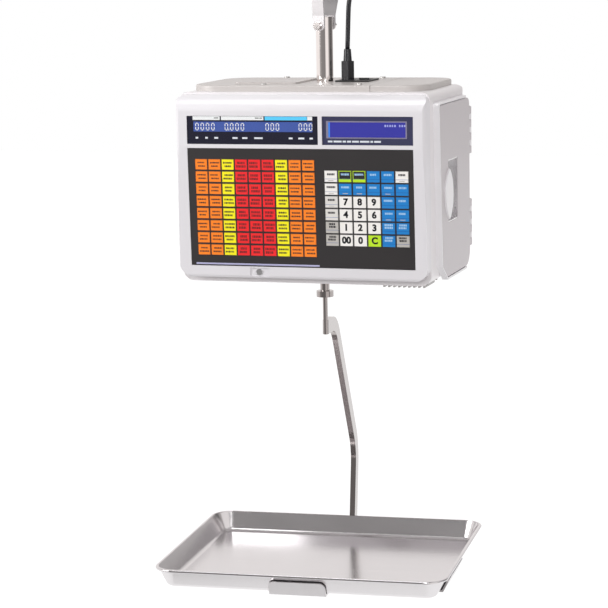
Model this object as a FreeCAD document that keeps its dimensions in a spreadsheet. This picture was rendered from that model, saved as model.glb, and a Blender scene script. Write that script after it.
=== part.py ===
"""Hanging retail price scale: a console on a post, hung from a yoke, with a swivelling load pan.

Frame: millimetres, +Z up, the customer side faces -Y.  The origin is the hole of the yoke's top
plate, on its upper face.  Pieces of the console are drawn about its own datum, the middle of the
keypad's upper edge, and then moved to the frame by their Placement.  Pieces of the load gear are
drawn about the load rod's axis, at the same height datum, and turned by their rest angles.
"""
import FreeCAD, Part
import math
import os
from types import SimpleNamespace
import Sketcher

DIMENSIONS = {
    # where the console hangs
    "mount_rise": 320.0, "post_setback": 141.0, "rod_setback": 123.0, "pan_yaw": 3.7, "arm_yaw": 5.2,
    # console housing
    "shell_half": 190.0, "shell_front": 25.0, "shell_back": 248.0, "shell_top": 80.0,
    "shell_floor": -200.0, "wall": 3.0, "shell_foot_round": 16.0, "shell_heel_round": 34.0,
    "bezel_top": 77.0, "bezel_floor": -192.0, "bezel_brow": 25.0, "bezel_side_round": 9.0,
    "cover_depth": 9.0, "cover_top": 64.0, "cover_front": 43.0, "cover_back": 241.0,
    # deck
    "deck_left": -183.0, "deck_right": 178.0, "deck_front": 44.0, "deck_back": 246.0,
    "deck_top": 89.0, "deck_round": 42.0, "deck_seam": 96.0,
    # display and keypad
    "panel_half": 171.0, "window_floor": 5.8, "window_top": 47.0, "window_split_left": 29.4,
    "window_split_right": 35.6, "keypad_drop": 174.4, "keypad_tilt": 2.35,
    "preset_left": -159.4, "preset_right": 23.3, "preset_drop": 15.8, "preset_foot": 158.8,
    "function_left": 37.9, "function_right": 163.4, "function_drop": 30.9, "function_foot": 141.4,
    "key_gap": 1.7, "key_rise": 0.4,
    # post, yoke and pivot
    "post_radius": 12.7, "post_wall": 2.0, "pivot_height": 172.0, "pivot_yaw": 73.0,
    "pivot_radius": 4.0, "yoke_gap": 26.0, "yoke_sheet": 3.0, "yoke_width": 20.0,
    "yoke_flare": 36.0, "yoke_lean": 3.0, "mount_radius": 5.25, "running_gap": 0.08,
    # inlet, rocker, plug and lead
    "inlet_left": 20.5, "inlet_right": 72.0, "inlet_front": 124.0, "inlet_back": 184.0,
    "plug_centre": 35.0, "plug_setback": 143.0, "plug_width": 21.3, "plug_depth": 17.0,
    "plug_top": 119.4, "relief_top": 137.0, "lead_radius": 3.5,
    "lead_top": 246.0, "coil_radius": 40.0, "coil_height": 268.0, "coil_offset": 37.1, "coil_side": -26.6,
    # load gear
    "rod_radius": 3.75, "sleeve_radius": 7.0, "sleeve_floor": -229.0, "collar_radius": 13.0,
    "arm_width": 22.0, "arm_thickness": 8.5, "arm_head": -281.0, "arm_foot": -670.0,
    "pan_width": 443.0, "pan_depth": 374.0, "pan_shift": -10.0, "pan_setback": 4.0, "pan_rim": -620.7,
    "pan_height": 30.0, "pan_inset": 15.0, "pan_corner": 30.0, "pan_cove": 9.0,
    "pan_sheet": 1.4, "lip_width": 86.0, "lip_drop": 11.0, "cradle_sheet": 3.0,
    # printer
    "door_hinge_x": 196.0, "door_hinge_y": 247.0, "knuckle_radius": 3.4, "hinge_pin": 1.5,
    "roll_radius": 44.0, "spindle_radius": 12.0, "platen_radius": 8.0,
    "gear_module": 1.0, "platen_teeth": 24.0, "pinion_teeth": 12.0,
}

doc = FreeCAD.newDocument("PriceScale")
sheet = doc.addObject("Spreadsheet::Sheet", "Dims")
for row, (alias, number) in enumerate(DIMENSIONS.items(), start=1):
    sheet.set(f"A{row}", alias)
    sheet.set(f"B{row}", str(number))
    sheet.setAlias(f"B{row}", alias)
doc.recompute()


# ---- sizes that remember their formula --------------------------------------------------------
class Size:
    """A length with the spreadsheet formula that it came from."""

    def __init__(self, value, formula):
        self.value = float(value)
        self.formula = formula

    def joined(self, sign, other, value):
        return Size(value, f"({self.formula} {sign} {as_size(other).formula})")

    def __add__(self, other):
        return self.joined("+", other, self.value + as_size(other).value)

    def __sub__(self, other):
        return self.joined("-", other, self.value - as_size(other).value)

    def __mul__(self, other):
        return self.joined("*", other, self.value * as_size(other).value)

    def __truediv__(self, other):
        return self.joined("/", other, self.value / as_size(other).value)

    def __neg__(self):
        return Size(-self.value, f"(0 - {self.formula})")

    def __radd__(self, other):
        return as_size(other) + self

    def __rsub__(self, other):
        return as_size(other) - self

    def __rmul__(self, other):
        return as_size(other) * self


def as_size(amount):
    return amount if isinstance(amount, Size) else Size(amount, f"({float(amount):.6f})")


d = SimpleNamespace(**{alias: Size(sheet.get(alias), f"Dims.{alias}") for alias in DIMENSIONS})


def value(amount):
    return as_size(amount).value


# ---- primitives, booleans and bodies ----------------------------------------------------------
TURNS = {
    "x": FreeCAD.Rotation(FreeCAD.Vector(0, 1, 0), 90),
    "y": FreeCAD.Rotation(FreeCAD.Vector(1, 0, 0), -90),
    "z": FreeCAD.Rotation(),
}


def bind(thing, **sizes):
    for name, amount in sizes.items():
        thing.setExpression(name, as_size(amount).formula)


def put(thing, x, y, z):
    for letter, amount in zip("xyz", (x, y, z)):
        thing.setExpression(f"Placement.Base.{letter}", as_size(amount).formula)


def block(x, y, z):
    """A box between three pairs of coordinates."""
    solid = doc.addObject("Part::Box", "block")
    bind(solid, Length=as_size(x[1]) - x[0], Width=as_size(y[1]) - y[0], Height=as_size(z[1]) - z[0])
    put(solid, x[0], y[0], z[0])
    return solid


def round_bar(radius, start, length, axis="z"):
    """A cylinder that runs from start along an axis."""
    solid = doc.addObject("Part::Cylinder", "bar")
    solid.Placement = FreeCAD.Placement(FreeCAD.Vector(), TURNS[axis])
    bind(solid, Radius=radius, Height=length)
    put(solid, *start)
    return solid


def cone(foot, top, start, length, axis="z"):
    solid = doc.addObject("Part::Cone", "cone")
    solid.Placement = FreeCAD.Placement(FreeCAD.Vector(), TURNS[axis])
    bind(solid, Radius1=foot, Radius2=top, Height=length)
    put(solid, *start)
    return solid


def cut(base, *tools):
    for tool in tools:
        result = doc.addObject("Part::Cut", "cut")
        result.Base = base
        result.Tool = tool
        base = result
    return base


def fuse(*solids):
    result = doc.addObject("Part::MultiFuse", "fuse")
    result.Shapes = list(solids)
    return result


def common(*solids):
    result = doc.addObject("Part::MultiCommon", "common")
    result.Shapes = list(solids)
    return result


def rounded(solid, radius, test):
    """Rounds the straight or curved edges that pass the test."""
    doc.recompute()
    result = doc.addObject("Part::Fillet", "rounded")
    result.Base = solid
    picked = [n for n, edge in enumerate(solid.Shape.Edges, start=1) if test(edge)]
    result.Edges = [(n, value(radius), value(radius)) for n in picked]
    return result


PLANES = {"XY": ("XY_Plane", 1, False), "YZ": ("YZ_Plane", 1, False), "XZ": ("XZ_Plane", -1, True)}


def sketch_on(body, plane, corners, low):
    """A closed outline of straight sides on an origin plane, its corners bound to the sheet."""
    role, sign, _ = PLANES[plane]
    sketch = body.newObject("Sketcher::SketchObject", "outline")
    support = next(each for each in body.Origin.OriginFeatures if each.Role == role)
    sketch.AttachmentSupport = [(support, "")]
    sketch.MapMode = "FlatFace"
    sketch.setExpression("AttachmentOffset.Base.z", (as_size(low) * sign).formula)
    points = [FreeCAD.Vector(value(a), value(b), 0) for a, b in corners]
    count = len(points)
    for n in range(count):
        sketch.addGeometry(Part.LineSegment(points[n], points[(n + 1) % count]), False)
    for n in range(count):
        sketch.addConstraint(Sketcher.Constraint("Coincident", n, 2, (n + 1) % count, 1))
    for n, (a, b) in enumerate(corners):
        for way, amount in (("DistanceX", a), ("DistanceY", b)):
            index = sketch.addConstraint(Sketcher.Constraint(way, -1, 1, n, 1, value(amount)))
            sketch.setExpression(f"Constraints[{index}]", as_size(amount).formula)
    return sketch


def edge_names(shape, plane, corner):
    """The names of the edges that run across a plane through one corner of its outline."""
    names = []
    keep = {"XY": (0, 1), "YZ": (1, 2), "XZ": (0, 2)}[plane]
    for n, edge in enumerate(shape.Edges, start=1):
        ends = [vertex.Point for vertex in edge.Vertexes]
        here = [abs(end[axis] - value(at)) < 1e-4 for end in ends for axis, at in zip(keep, corner)]
        if len(ends) == 2 and all(here):
            names.append(f"Edge{n}")
    return names


def prism(plane, corners, low, high, rounds=()):
    """A body padded from an outline, with some of its long edges rounded."""
    body = doc.addObject("PartDesign::Body", "prism")
    sketch = sketch_on(body, plane, corners, low)
    pad = body.newObject("PartDesign::Pad", "pad")
    pad.Profile = sketch
    pad.Reversed = PLANES[plane][2]
    bind(pad, Length=as_size(high) - low)
    for corner, radius in rounds:
        doc.recompute()
        base = body.Tip
        names = edge_names(base.Shape, plane, corners[corner])
        fillet = body.newObject("PartDesign::Fillet", "round")
        fillet.Base = (base, names)
        bind(fillet, Radius=radius)
        body.Tip = fillet
    return body


def box_corners(a, b):
    return [(a[0], b[0]), (a[1], b[0]), (a[1], b[1]), (a[0], b[1])]


def all_rounds(*radii):
    return list(enumerate(radii))


def made(shape):
    """A sub-part whose shape comes from Part's own functions."""
    feature = doc.addObject("Part::Feature", "made")
    feature.Shape = shape
    return feature


# ---- naming and placing the pieces ------------------------------------------------------------
PIECES = []
Z_AXIS = FreeCAD.Vector(0, 0, 1)
X_AXIS = FreeCAD.Vector(1, 0, 0)
SEATS = {
    "console": (-d.post_setback, Z_AXIS, None),
    "keypad": (-d.post_setback, X_AXIS, d.keypad_tilt),
    "arm": (d.rod_setback - d.post_setback, Z_AXIS, d.arm_yaw),
    "pan": (d.rod_setback - d.post_setback, Z_AXIS, d.pan_yaw),
    "yoke": (as_size(0), Z_AXIS, d.pivot_yaw),
}


def piece(label, seat, *solids):
    """One named sub-part, of one or several separate solids, moved to its seat."""
    whole = solids[0]
    if len(solids) > 1 or whole.TypeId in ("Part::Box", "Part::Cylinder", "Part::Cone"):
        whole = doc.addObject("Part::Compound", label)
        whole.Links = list(solids)
    setback, axis, angle = SEATS[seat]
    turn = FreeCAD.Rotation(axis, value(angle)) if angle else FreeCAD.Rotation()
    whole.Placement = FreeCAD.Placement(FreeCAD.Vector(), turn)
    put(whole, 0, setback, -d.mount_rise)
    if angle:
        whole.setExpression("Placement.Rotation.Angle", angle.formula)
    whole.Label = label
    PIECES.append(whole)
    return whole


# ---- housing ----------------------------------------------------------------------------------
def shell_form(inset):
    """The housing's form, drawn in by an inset, as the common part of three prisms."""
    half = d.shell_half - inset
    front = d.shell_front - (0.0 if inset == 0 else 2.0)
    y = (front, d.shell_back - inset)
    z = (d.shell_floor + inset, d.shell_top - inset)
    heel = d.shell_heel_round - inset
    foot = d.shell_foot_round - inset
    side = prism("YZ", box_corners(y, z), -half, half, [(1, heel), (2, 26.0 - inset)])
    face = prism("XZ", box_corners((-half, half), z), y[0], y[1], all_rounds(foot, foot, 12 - inset, 12 - inset))
    plan = prism("XY", box_corners((-half, half), y), z[0], z[1], [(2, 20.0 - inset), (3, 20.0 - inset)])
    return common(side, face, plan)


def bay_opening(x):
    """The printer bay's opening through the right wall."""
    return block(x, (68, 222), (-165, 48))


VENT_COUNT = 9
VENT_PITCH = 7.5


def make_housing():
    hole_over_post = round_bar(d.post_radius + 1.0, (0, d.post_setback, 70), 20)
    hole_for_rod = round_bar(10, (0, d.rod_setback, -210), 20)
    inlet_hole = block((d.inlet_left + 1.8, d.inlet_right - 3), (d.inlet_front + 4, d.inlet_back - 4), (70, 85))
    vent_hole = block((114, 182), (34, 96), (-205, -190))
    box = cut(shell_form(0), shell_form(d.wall))
    slab = block((-d.shell_half, d.shell_half), (d.shell_front, d.shell_front + d.wall), (d.shell_floor, -150))
    mouth = prism("XZ", box_corners((-183, 183), (-187, -140)), d.shell_front - 2, d.shell_front + 6,
                  [(0, 18), (1, 18)])
    flange = cut(common(shell_form(0), slab), mouth)
    shell = cut(fuse(box, flange), hole_over_post, hole_for_rod, inlet_hole, vent_hole,
                bay_opening((180, 195)))
    piece("housing_shell", "console", shell)
    vent_plate = block((114.2, 181.8), (34.2, 95.8), (d.shell_floor + 0.2, d.shell_floor + d.wall))
    slots = []
    ribs = []
    for n in range(VENT_COUNT):
        low = 118.0 + n * VENT_PITCH
        slots.append(block((low, low + 4), (40, 90), (-205, -190)))
        ribs.append(block((low - 3, low - 0.6), (34.2, 95.8), (d.shell_floor - 4, d.shell_floor + 1)))
    piece("bottom_vent", "console", fuse(cut(vent_plate, *slots), *ribs))


def make_bezel():
    half = d.shell_half
    side = prism("YZ", [(7.8, d.bezel_floor), (d.shell_front, d.bezel_floor), (d.shell_front, d.bezel_top),
                        (0, d.bezel_top), (0, 2)], -half, half, [(3, d.bezel_brow - 0.5), (0, 5.0)])
    face = prism("XZ", box_corners((-half, half), (d.bezel_floor, d.bezel_top)), -2, d.shell_front,
                 all_rounds(22, 22, 12, 12))
    plan = prism("XY", [(-half + 1.5, -1), (half - 1.5, -1), (half, d.shell_front), (-half, d.shell_front)],
                 d.bezel_floor - 1, d.bezel_top + 1, all_rounds(d.bezel_side_round, d.bezel_side_round))
    hollow = prism("YZ", [(10.9, -187), (26, -187), (26, 70), (12, 70), (3, 55), (3, 2)], -184, 184)
    window_z = (d.window_floor, d.window_top)
    left_window = block((-d.panel_half, d.window_split_left), (-5, 5), window_z)
    right_window = block((d.window_split_right, d.panel_half), (-5, 5), window_z)
    keypad = block((-d.panel_half, d.panel_half), (-5, 12), (-d.keypad_drop, 0))
    recess = block((-80, -51), (2, 9), (-189, -176.5))
    screw_hole = round_bar(2, (-66, 0, -182.5), 20, "y")
    piece("front_bezel", "console", cut(common(side, face, plan), hollow, left_window, right_window, keypad,
                                        recess, screw_hole))
    head = round_bar(4.6, (-66, 7.4, -182.5), 1.6, "y")
    slot = block((-70, -62), (7, 8), (-183, -182))
    stem = round_bar(1.9, (-66, 9.0, -182.5), 9, "y")
    piece("bezel_screw", "console", fuse(cut(head, slot), stem))


KNUCKLE_PITCH = 20.0
KNUCKLE_HEIGHT = 10.5
KNUCKLE_TOPS = (45.0, -96.0)
PULL = ((97.0, 156.0), (-115.0, -23.0))


def knuckle(low, height, radius):
    return round_bar(radius, (d.door_hinge_x, d.door_hinge_y, low), height)


def cover_outline(inset):
    return [(57 + inset, -176), (91, d.shell_floor + 1 + inset), (d.cover_back - inset, d.shell_floor + 1 + inset),
            (d.cover_back - inset, d.cover_top - inset), (d.cover_front + inset, d.cover_top - inset)]


def make_side_covers():
    outside = d.shell_half + d.cover_depth
    left = prism("YZ", cover_outline(0), -outside, -d.shell_half, [(2, 30), (3, 16), (4, 5)])
    doc.recompute()
    piece("left_side_cover", "console", rounded(left, 2.5, lambda e: e.BoundBox.XMax < -outside.value + 0.01))
    frame = prism("YZ", cover_outline(0), d.shell_half, d.shell_half + 2, [(2, 30), (3, 16), (4, 5)])
    knuckles = []
    for top in KNUCKLE_TOPS:
        leaf = block((d.shell_half, d.shell_half + 2), (235, d.door_hinge_y), (top - 72, top + 1))
        knuckles.append(leaf)
        for n in range(3):
            low = top - (n + 1) * KNUCKLE_PITCH + 0.4
            arm = block((d.shell_half, d.door_hinge_x), (d.door_hinge_y - 1, d.door_hinge_y + 2.6),
                        (low, low + 8.7))
            knuckles += [arm, knuckle(low, 8.7, d.knuckle_radius)]
    bores = [knuckle(top - 80, 90, d.hinge_pin) for top in KNUCKLE_TOPS]
    rim = prism("YZ", cover_outline(0), d.shell_half, d.shell_half + d.cover_depth, [(2, 30), (3, 16), (4, 5)])
    within = prism("YZ", cover_outline(3.2), d.shell_half - 1, d.shell_half + d.cover_depth + 1,
                   [(2, 27), (3, 13), (4, 4)])
    hinge_side = block((d.shell_half - 1, d.shell_half + 20), (215, 260), (-210, 80))
    rim = cut(rim, within, hinge_side)
    piece("right_side_frame", "console", cut(fuse(frame, rim, *knuckles), bay_opening((180, 195)), *bores))


# ---- printer door -----------------------------------------------------------------------------
def make_door():
    inner = d.shell_half + 2.3
    outer = d.shell_half + d.cover_depth
    panel = prism("YZ", cover_outline(4.2), inner, outer, [(2, 26), (3, 12), (4, 3)])
    doc.recompute()
    panel = rounded(panel, 1.6, lambda e: e.BoundBox.XMin > outer.value - 0.01)
    pocket = block((inner - 1, outer - 3), (72, 218), (-160, 44))
    door_knuckles = []
    pins = []
    for top in KNUCKLE_TOPS:
        for n in range(4):
            low = top - n * KNUCKLE_PITCH - KNUCKLE_HEIGHT
            tab = block((d.door_hinge_x - 3, d.door_hinge_x + 3), (232, d.door_hinge_y),
                        (low, low + KNUCKLE_HEIGHT))
            door_knuckles += [tab, knuckle(low, KNUCKLE_HEIGHT, d.knuckle_radius)]
        pins.append(knuckle(top - 71.5, 72.5, d.hinge_pin))
    bore = [knuckle(top - 80, 90, d.hinge_pin + d.running_gap) for top in KNUCKLE_TOPS]
    pull_hole = block((inner - 1, outer + 1), PULL[0], PULL[1])
    door = cut(fuse(cut(panel, pocket), *door_knuckles), *bore, pull_hole)
    piece("printer_door", "console", door)
    piece("door_hinge_pins", "console", *pins)
    y, z = PULL
    cup = block((outer - 16, outer - 0.6), (y[0] + 0.2, y[1] - 0.2), (z[0] + 0.2, z[1] - 0.2))
    cup_hollow = block((outer - 14.5, outer + 1), (y[0] + 1.7, y[1] - 1.7), (z[0] + 1.7, z[1] - 1.7))
    piece("door_pull_cup", "console", cut(cup, cup_hollow))
    lens = [round_bar(42.5, (outer, 95.5 + shift, -72.5), 2.6, "x") for shift in (-20, 20)]
    piece("door_pull_lip", "console", common(*lens))


# ---- deck -------------------------------------------------------------------------------------
def make_deck():
    low = d.shell_top
    corners = box_corners((d.deck_left, d.deck_right), (d.deck_front, d.deck_back))
    slab = prism("XY", corners, low, d.deck_top, all_rounds(*[d.deck_round] * 4))
    doc.recompute()
    slab = rounded(slab, 3.0, lambda e: e.BoundBox.ZMin > d.deck_top.value - 0.01)
    left_half = block((-220, d.deck_seam - 0.4), (0, 300), (60, 120))
    right_half = block((d.deck_seam + 0.4, 220), (0, 300), (60, 120))
    post_hole = round_bar(d.post_radius + 0.5, (0, d.post_setback, 70), 30)
    inlet_hole = block((d.inlet_left + 1.8, d.inlet_right - 3), (d.inlet_front + 4, d.inlet_back - 4), (70, 95))
    screws = [(-71, 62), (-90, 238), (64, 236), (75, 63)]
    sockets = [round_bar(2.0, (x, y, 76), 20) for x, y in screws]
    piece("top_deck", "console", cut(common(slab, left_half), post_hole, inlet_hole, *sockets))
    piece("deck_end_cover", "console", common(slab, right_half))
    raised = prism("XY", box_corners((-122, -25), (76, 190)), d.deck_top, d.deck_top + 2.5, all_rounds(6, 6, 6, 6))
    piece("deck_access_plate", "console", raised)
    heads = []
    for x, y in screws:
        head = cut(round_bar(4.2, (x, y, d.deck_top), 1.8), block((x - 0.5, x + 0.5), (y - 3, y + 3), (90, 92)))
        heads.append(fuse(head, round_bar(1.95, (x, y, d.deck_top - 8.8), 9)))
    piece("deck_screws", "console", *heads)


# ---- displays and keypad ----------------------------------------------------------------------
def make_displays():
    y = (0.1, 1.6)
    z = (d.window_floor + 0.2, d.window_top - 0.2)
    piece("left_window", "console", block((-d.panel_half + 0.2, d.window_split_left - 0.2), y, z))
    piece("right_window", "console", block((d.window_split_right + 0.2, d.panel_half - 0.2), y, z))
    piece("left_lcd", "console", block((-161, 21), (1.7, 6.5), (23, 39.6)))
    right_x = (41.6, 161.7)
    right_z = (15.3, 40.4)
    opening = block((44.6, 159.6), (0, 8), (16.8, 38.6))
    piece("right_lcd_frame", "console", cut(block(right_x, (1.7, 6.5), right_z), opening))
    piece("right_lcd", "console", block((44.8, 159.4), (2.2, 6.5), (17, 38.4)))
    piece("display_board", "console", block((-166, 166), (7.0, 8.6), (4, 52)))


def key_box(left, right, top, foot):
    return block((left, right), (-d.key_rise, 0), (-foot, -top))


def key_grid(left, right, top, foot, columns, rows):
    """The keys of one field, row by row."""
    width = (as_size(right) - left + d.key_gap) / columns
    height = (as_size(foot) - top + d.key_gap) / rows
    keys = []
    for row in range(rows):
        for column in range(columns):
            x = left + width * column
            z = top + height * row
            keys.append(((row, column), key_box(x, x + width - d.key_gap, z, z + height - d.key_gap)))
    return keys


PRESET_COLUMNS = ["orange", "orange", "yellow", "red", "red", "red", "yellow", "orange", "orange"]
FUNCTION_ROWS = [
    ["white", "lime", "lime", "blue", "blue", "white"],
    ["white", "blue", "blue", "blue", "blue", "blue"],
    ["white", "white", "white", "white", "blue", "blue"],
    ["white", "white", "white", "white", "blue", "blue"],
    ["white", "white", "white", "white", "blue", "blue"],
    ["white", "white", "white", "lime", "blue", "white"],
]


def make_keypad():
    half = d.panel_half
    piece("keypad_overlay", "keypad", block((-half + 0.3, half - 0.3), (0, 0.6), (-d.keypad_drop + 0.3, -0.3)))
    boss = block((-half + 0.5, half - 0.5), (0.6, 3.5), (-d.keypad_drop + 0.5, -0.5))
    flange = block((-half - 6, half + 6), (3.5, 5.0), (-d.keypad_drop - 6, -2.0))
    piece("keypad_backing", "keypad", fuse(boss, flange))
    groups = {}
    for (_, column), key in key_grid(d.preset_left, d.preset_right, d.preset_drop, d.preset_foot, 9, 8):
        groups.setdefault(f"preset_keys_{PRESET_COLUMNS[column]}", []).append(key)
    for (row, column), key in key_grid(d.function_left, d.function_right, d.function_drop, d.function_foot, 6, 6):
        groups.setdefault(f"function_keys_{FUNCTION_ROWS[row][column]}", []).append(key)
    for label, keys in groups.items():
        piece(label, "keypad", *keys)


# ---- post, yoke and pivot ---------------------------------------------------------------------
def make_post():
    foot = 63.0
    top = d.pivot_height + 13
    tube = round_bar(d.post_radius, (0, d.post_setback, foot), top - foot)
    bore = round_bar(d.post_radius - d.post_wall, (0, d.post_setback, foot - 1), 200)
    cross = round_bar(d.pivot_radius + d.running_gap, (0, 0, 0), 60, "x")
    cross.Placement = FreeCAD.Placement(FreeCAD.Vector(), FreeCAD.Rotation(Z_AXIS, d.pivot_yaw.value) * TURNS["x"])
    reach = 30.0
    yaw = math.radians(d.pivot_yaw.value)
    put(cross, -reach * math.cos(yaw), d.post_setback - reach * math.sin(yaw), d.pivot_height)
    flange = round_bar(30, (0, d.post_setback, foot), 5)
    bolts = []
    holes = []
    for n in range(4):
        angle = math.radians(45 + 90 * n)
        x = 22 * math.cos(angle)
        y = d.post_setback + 22 * math.sin(angle)
        holes.append(round_bar(2.5, (x, y, foot - 1), 9))
        bolts.append(fuse(round_bar(4.2, (x, y, foot + 5), 3), round_bar(2.4, (x, y, foot - 8), 14)))
    piece("post_tube", "console", cut(fuse(tube, flange), bore, cross, *holes))
    piece("flange_bolts", "console", *bolts)


def make_yoke():
    """The yoke is drawn with its pivot along X, then turned to its yaw."""
    half = d.yoke_width / 2
    gap = d.yoke_gap / 2
    sheet_mm = d.yoke_sheet
    left = d.yoke_lean - d.yoke_flare / 2
    right = d.yoke_lean + d.yoke_flare / 2
    ear_foot = d.pivot_height - 7
    knee = d.pivot_height + 15
    wide = d.pivot_height + 38
    top = d.mount_rise
    outline = [(gap, ear_foot), (gap + sheet_mm, ear_foot), (gap + sheet_mm, knee), (right + sheet_mm, wide),
               (right + sheet_mm, top), (left - sheet_mm, top), (left - sheet_mm, wide), (-gap - sheet_mm, knee),
               (-gap - sheet_mm, ear_foot), (-gap, ear_foot), (-gap, knee), (left, wide), (left, top - sheet_mm),
               (right, top - sheet_mm), (right, wide), (gap, knee)]
    strap = prism("XZ", outline, -half, half)
    web = prism("XZ", [(-gap, knee), (gap, knee), (right, wide), (right, top - 30), (left, top - 30),
                       (left, wide)], -half, -half + sheet_mm)
    bolt_hole = round_bar(d.pivot_radius, (-40, 0, d.pivot_height), 80, "x")
    mount_hole = round_bar(d.mount_radius, (0, 0, top - 10), 20)
    body = cut(fuse(strap, web), bolt_hole, mount_hole)
    doc.recompute()
    low = ear_foot.value + 0.01
    body = rounded(body, 6.9, lambda e: e.BoundBox.ZMax < low and e.BoundBox.XLength > 1
                   and e.BoundBox.YLength < 0.01)
    piece("hanger_yoke", "yoke", body)
    out = gap + sheet_mm
    washer_mm = 1.2
    z = d.pivot_height
    washers = []
    for start in (-out - washer_mm, out):
        washers.append(cut(round_bar(6.5, (start, 0, z), washer_mm, "x"),
                           round_bar(d.pivot_radius, (start - 1, 0, z), 4, "x")))
    head = round_bar(5.6, (-out - washer_mm - 4, 0, z), 4, "x")
    shank = round_bar(d.pivot_radius, (-out - washer_mm, 0, z), 2 * out + 2 * washer_mm + 9, "x")
    piece("pivot_bolt", "yoke", fuse(head, shank))
    nut = cut(hexagon(out + washer_mm, 6.5, 7.2), round_bar(d.pivot_radius, (0, 0, z), 60, "x"))
    piece("pivot_nut_and_washers", "yoke", nut, *washers)


def hexagon(start, length, radius):
    corners = [(radius * math.cos(math.radians(60 * n)), d.pivot_height + radius * math.sin(math.radians(60 * n)))
               for n in range(6)]
    return prism("YZ", corners, start, start + length)


# ---- inlet, rocker, plug and lead -------------------------------------------------------------
ROCKER_X = (52.0, 68.0)
ROCKER_Y = 154.0
ROCKER_PIVOT = 87.0
CONTACTS = ((-7.0, 0.0), (7.0, 0.0), (0.0, 3.5))


def make_inlet():
    flange = block((d.inlet_left, d.inlet_right), (d.inlet_front, d.inlet_back), (d.deck_top, d.deck_top + 2.4))
    core = block((d.inlet_left + 2, d.inlet_right - 3.2), (d.inlet_front + 4.2, d.inlet_back - 4.2),
                 (70.2, d.deck_top))
    socket_x = (d.plug_centre - d.plug_width / 2 - 0.3, d.plug_centre + d.plug_width / 2 + 0.3)
    socket_y = (d.plug_setback - d.plug_depth / 2 - 0.3, d.plug_setback + d.plug_depth / 2 + 0.3)
    socket = block(socket_x, socket_y, (72, 95))
    rocker_well = block(ROCKER_X, (ROCKER_Y - 13, ROCKER_Y + 13), (72, 95))
    body = common(fuse(core, flange), block((0, 100), (100, 200), (70.2, 95)))
    pins = []
    for dx, dy in CONTACTS:
        x = d.plug_centre + dx
        y = d.plug_setback + dy
        pins.append(block((x - 1, x + 1), (y - 2, y + 2), (71.5, 86)))
    axle = round_bar(1.5, (ROCKER_X[0] - 1, ROCKER_Y, ROCKER_PIVOT - 2), ROCKER_X[1] - ROCKER_X[0] + 2, "x")
    piece("inlet_module", "console", fuse(cut(body, socket, rocker_well), axle, *pins))
    y0 = ROCKER_Y
    z0 = ROCKER_PIVOT
    rocker = prism("YZ", [(y0 - 9, z0 - 6), (y0 + 9, z0 - 6), (y0 + 11.3, z0 + 3.2), (y0, z0 + 4.2),
                          (y0 - 11.3, z0 + 7.6)], ROCKER_X[0] + 0.4, ROCKER_X[1] - 0.4, [(4, 1.0), (2, 1.0)])
    pivot_hole = round_bar(1.5 + d.running_gap.value, (ROCKER_X[0] - 1, y0, z0 - 2), 20, "x")
    piece("power_rocker", "console", cut(rocker, pivot_hole))


GRIP_HALF = (7.3, 6.9)
GRIP_TURN = math.radians(-28)


def turned_corner(a, b):
    """A point of the plug's grip, which is turned towards the front right."""
    x = a * math.cos(GRIP_TURN) - b * math.sin(GRIP_TURN)
    y = a * math.sin(GRIP_TURN) + b * math.cos(GRIP_TURN)
    return d.plug_centre + x, d.plug_setback + y


def make_plug():
    x = (d.plug_centre - d.plug_width / 2, d.plug_centre + d.plug_width / 2)
    y = (d.plug_setback - d.plug_depth / 2, d.plug_setback + d.plug_depth / 2)
    insert = prism("XY", box_corners(x, y), 72.5, d.deck_top + 3, all_rounds(3, 3, 3, 3))
    a, b = GRIP_HALF
    grip = prism("XY", [turned_corner(-a, -b), turned_corner(a, -b), turned_corner(a, b), turned_corner(-a, b)],
                 d.deck_top + 2, d.plug_top, all_rounds(1.5, 1.5, 1.5, 1.5))
    doc.recompute()
    grip = rounded(grip, 1.2, lambda e: e.BoundBox.ZMin > d.plug_top.value - 0.01)
    slots = []
    for dx, dy in CONTACTS:
        px = d.plug_centre + dx
        py = d.plug_setback + dy
        slots.append(block((px - 1.4, px + 1.4), (py - 2.4, py + 2.4), (70, 88)))
    piece("appliance_plug", "console", cut(fuse(insert, grip), *slots))
    taper = cone(6.4, 5.2, (d.plug_centre, d.plug_setback, d.plug_top), d.relief_top - d.plug_top)
    piece("plug_strain_relief", "console", taper)


def rounded_path(points):
    """Straight runs joined by tangent arcs, each as large as its two runs allow."""
    edges = []
    last = points[0]
    radii = []
    for before, corner, after in zip(points, points[1:], points[2:]):
        back = before - corner
        ahead = after - corner
        turn = math.pi - back.getAngle(ahead)
        reach = 0.45 * min(back.Length, ahead.Length)
        radii.append(reach / math.tan(turn / 2))
        start = corner + back.normalize() * reach
        end = corner + ahead.normalize() * reach
        bisector = (back + ahead).normalize()
        centre = corner + bisector * (radii[-1] / math.cos(turn / 2))
        middle = centre - bisector * radii[-1]
        edges.append(Part.LineSegment(last, start).toShape())
        edges.append(Part.Arc(start, middle, end).toShape())
        last = end
    edges.append(Part.LineSegment(last, points[-1]).toShape())
    return Part.Wire(edges), radii


def swept(path, section):
    return path.makePipeShell([section], True, False)


def lead_route():
    """The lead stands almost straight up out of the plug and runs into the side of its coil."""
    x = d.plug_centre.value
    y = d.plug_setback.value
    foot = d.relief_top.value + 0.15
    return [FreeCAD.Vector(x, y, foot), FreeCAD.Vector(x + 1.4, y + 0.3, foot + 38),
            FreeCAD.Vector(x + 3.2, y - 0.1, foot + 75), FreeCAD.Vector(x + 4.4, y, d.lead_top.value)]


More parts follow.
